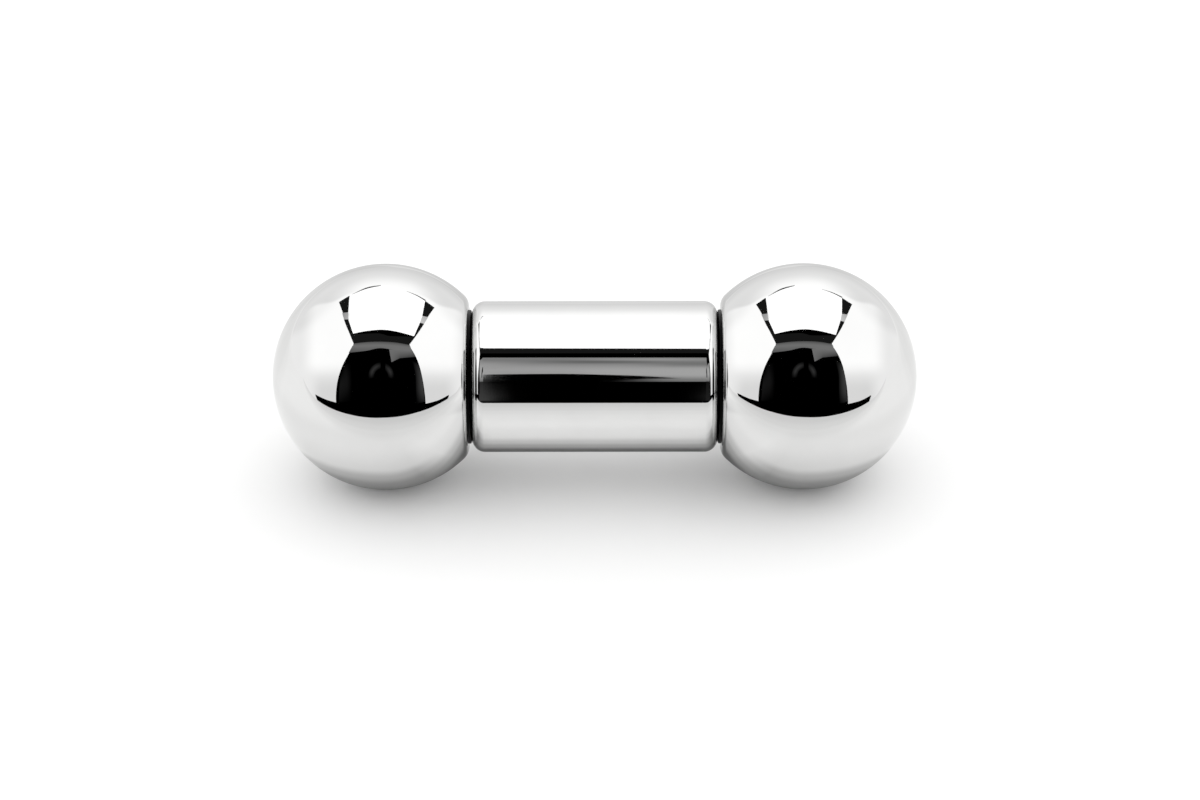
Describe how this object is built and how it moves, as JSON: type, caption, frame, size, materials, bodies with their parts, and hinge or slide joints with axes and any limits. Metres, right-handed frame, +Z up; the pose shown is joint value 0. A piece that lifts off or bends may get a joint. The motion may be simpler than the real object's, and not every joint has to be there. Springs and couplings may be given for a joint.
{
  "type": "piercing barbell",
  "caption": "Straight piercing barbell: a thick round bar with a screw-on ball at each end, mirror-polished steel.",
  "frame": {"origin": "on the surface that both balls rest on, below the middle of the bar", "axes": "+X along the bar towards the right ball, +Y to the back, +Z up"},
  "size_m": [0.0342, 0.012, 0.012],
  "materials": {
    "bar_steel": "mirror-polished surgical steel",
    "ball_steel": "mirror-polished surgical steel",
    "stud_steel": "machined steel thread"
  },
  "bodies": {
    "bar": {"bar": "bar_steel"},
    "left_stud": {"left_stud": "stud_steel"},
    "left_ball": {"left_ball": "ball_steel"},
    "right_stud": {"right_stud": "stud_steel"},
    "right_ball": {"right_ball": "ball_steel"}
  },
  "joints": [
    {"name": "left_stud_slide", "type": "slide", "parent": "bar", "child": "left_stud", "axis": [-1, 0, 0], "range_m": [0, 0.0056]},
    {"name": "left_ball_turn", "type": "hinge", "parent": "left_stud", "child": "left_ball", "pos_m": [-0.00667, 0, 0.006], "axis": [-1, 0, 0], "range_deg": [0, 2880]},
    {"name": "right_stud_slide", "type": "slide", "parent": "bar", "child": "right_stud", "axis": [1, 0, 0], "range_m": [0, 0.0056]},
    {"name": "right_ball_turn", "type": "hinge", "parent": "right_stud", "child": "right_ball", "pos_m": [0.00667, 0, 0.006], "axis": [1, 0, 0], "range_deg": [0, 2880]}
  ],
  "couplings": [
    {"joint": "left_ball_turn", "follows": "left_stud_slide", "rad_per_m": 8976},
    {"joint": "right_ball_turn", "follows": "right_stud_slide", "rad_per_m": 8976}
  ]
}
